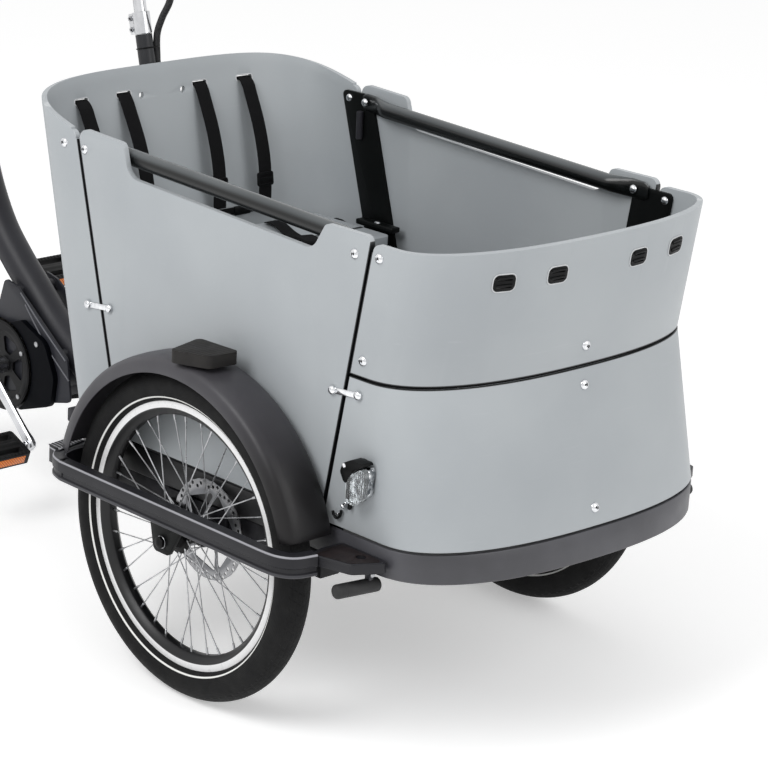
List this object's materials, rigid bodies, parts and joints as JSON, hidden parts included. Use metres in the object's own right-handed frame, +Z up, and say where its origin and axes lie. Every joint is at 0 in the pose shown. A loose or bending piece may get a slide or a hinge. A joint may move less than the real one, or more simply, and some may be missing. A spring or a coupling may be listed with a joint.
{
  "type": "cargo tricycle",
  "caption": "Front-loading cargo tricycle with an open grey panelled box between the steered front wheels, bench and belts, mid drive, saddle and rear carrier.",
  "frame": {"origin": "on the floor under the middle of the whole tricycle's length and width", "axes": "+Z up, -Y towards the front of the box, -X to the rider's right, where the chain is"},
  "size_m": [0.88, 2.1824, 1.1421],
  "materials": {
    "tyre": "ribbed black rubber",
    "rim": "machined brake band, silver spokes",
    "hub": "satin",
    "steel": "zinc plated",
    "caliper": "satin black",
    "panel": "satin light blue-grey",
    "tray": "satin anthracite",
    "floor": "textured dark grey",
    "black_frame": "satin black powder coat",
    "webbing": "woven black webbing",
    "chassis": "anthracite powder coat",
    "guard": "fine grained anthracite",
    "pad": "ribbed rubber",
    "lamp": "clear lens in a black hood",
    "stem": "polished",
    "grip": "ribbed soft rubber",
    "lever": "satin black",
    "shifter": "ribbed twist sleeve",
    "loom": "braided black sleeve",
    "motor": "fine textured black",
    "chainring": "black ring with silver bolts",
    "crank": "polished silver",
    "pedal": "black with orange reflectors",
    "chain": "oiled links",
    "post": "anodised black",
    "saddle_shell": "moulded black",
    "saddle": "soft grained cover, stitched",
    "clamp_lever": "satin",
    "rear_fender": "satin black",
    "carrier": "satin black powder coat",
    "battery": "satin black case",
    "rear_light": "clear red lens"
  },
  "bodies": {
    "frame": {"main_frame": "chassis", "motor_unit": "motor", "rear_axle": "steel", "chain": "chain", "rear_fender": "rear_fender", "carrier": "carrier", "battery": "battery", "rear_light": "rear_light"},
    "front_assembly": {"front_chassis": "chassis", "kingpin": "steel", "base_tray": "tray", "box_floor": "floor", "rear_panel": "panel", "side_panel_right": "panel", "side_panel_left": "panel", "front_panel_upper": "panel", "front_panel_lower": "panel", "box_frame": "black_frame", "harness_right": "webbing", "harness_left": "webbing", "wheel_guard_right": "guard", "wheel_guard_left": "guard", "fender_front_right": "guard", "fender_front_left": "guard", "step_pad_right": "pad", "step_pad_left": "pad", "headlamp_right": "lamp", "headlamp_left": "lamp", "front_axle_right": "steel", "front_axle_left": "steel", "brake_caliper_right": "caliper", "brake_caliper_left": "caliper", "column_tube": "black_frame", "handlebar_stem": "stem", "handlebar": "black_frame", "grip_right": "grip", "grip_left": "grip", "cable_loom": "loom"},
    "front_wheel_right": {"tyre_front_right": "tyre", "rim_front_right": "rim", "hub_front_right": "hub"},
    "front_wheel_left": {"tyre_front_left": "tyre", "rim_front_left": "rim", "hub_front_left": "hub"},
    "rear_wheel": {"tyre_rear": "tyre", "rim_rear": "rim", "hub_rear": "hub"},
    "rear_sprocket": {"sprocket": "steel"},
    "crank": {"chainring": "chainring", "crankset": "crank"},
    "right_pedal": {"pedal_right": "pedal"},
    "left_pedal": {"pedal_left": "pedal"},
    "bench": {"bench_seat": "panel"},
    "right_brake_lever": {"brake_lever_right": "lever"},
    "left_brake_lever": {"brake_lever_left": "lever"},
    "shifter": {"gear_shifter": "shifter"},
    "seat": {"seat_post": "post", "saddle_shell": "saddle_shell", "saddle_cushion": "saddle"},
    "seat_lever": {"seat_clamp_lever": "clamp_lever"}
  },
  "joints": [
    {"name": "steering", "type": "hinge", "parent": "frame", "child": "front_assembly", "pos_m": [0, -0.17833, 0.272], "axis": [0, 0.2419, 0.9703], "range_deg": [-35, 35]},
    {"name": "front_wheel_right_spin", "type": "hinge", "parent": "front_assembly", "child": "front_wheel_right", "pos_m": [-0.363, -0.59823, 0.2596], "axis": [1, 0, 0], "continuous": true},
    {"name": "front_wheel_left_spin", "type": "hinge", "parent": "front_assembly", "child": "front_wheel_left", "pos_m": [0.363, -0.59823, 0.2596], "axis": [1, 0, 0], "continuous": true},
    {"name": "rear_wheel_spin", "type": "hinge", "parent": "frame", "child": "rear_wheel", "pos_m": [0, 0.74123, 0.332], "axis": [1, 0, 0], "continuous": true},
    {"name": "crank_spin", "type": "hinge", "parent": "frame", "child": "crank", "pos_m": [0, 0.28878, 0.249], "axis": [1, 0, 0], "continuous": true},
    {"name": "sprocket_spin", "type": "hinge", "parent": "frame", "child": "rear_sprocket", "pos_m": [-0.052, 0.74123, 0.332], "axis": [1, 0, 0], "continuous": true},
    {"name": "pedal_right_spin", "type": "hinge", "parent": "crank", "child": "right_pedal", "pos_m": [-0.159, 0.16047, 0.13747], "axis": [1, 0, 0], "continuous": true},
    {"name": "pedal_left_spin", "type": "hinge", "parent": "crank", "child": "left_pedal", "pos_m": [0.159, 0.41708, 0.36053], "axis": [1, 0, 0], "continuous": true},
    {"name": "bench_fold", "type": "hinge", "parent": "front_assembly", "child": "bench", "pos_m": [0, -0.23322, 0.5795], "axis": [-1, 0, 0], "range_deg": [0, 80]},
    {"name": "brake_lever_right_pull", "type": "hinge", "parent": "front_assembly", "child": "right_brake_lever", "pos_m": [-0.29907, 0.07584, 1.12605], "axis": [0.0257, -0.0704, -0.9972], "range_deg": [0, 12], "stiffness_Nm_per_rad": 0.8},
    {"name": "brake_lever_left_pull", "type": "hinge", "parent": "front_assembly", "child": "left_brake_lever", "pos_m": [0.29907, 0.07584, 1.12605], "axis": [0.0257, 0.0704, 0.9972], "range_deg": [0, 12], "stiffness_Nm_per_rad": 0.8},
    {"name": "gear_twist", "type": "hinge", "parent": "front_assembly", "child": "shifter", "pos_m": [-0.28405, 0.12219, 1.12317], "axis": [-0.3419, 0.9367, -0.0749], "range_deg": [0, 120]},
    {"name": "seat_height", "type": "slide", "parent": "frame", "child": "seat", "axis": [0, 0.2785, 0.9604], "range_m": [-0.04, 0.07]},
    {"name": "seat_clamp", "type": "hinge", "parent": "frame", "child": "seat_lever", "pos_m": [0.0195, 0.46366, 0.79517], "axis": [0, -0.2785, -0.9604], "range_deg": [0, 150]}
  ],
  "couplings": [
    {"joint": "sprocket_spin", "follows": "crank_spin", "ratio": 2}
  ]
}
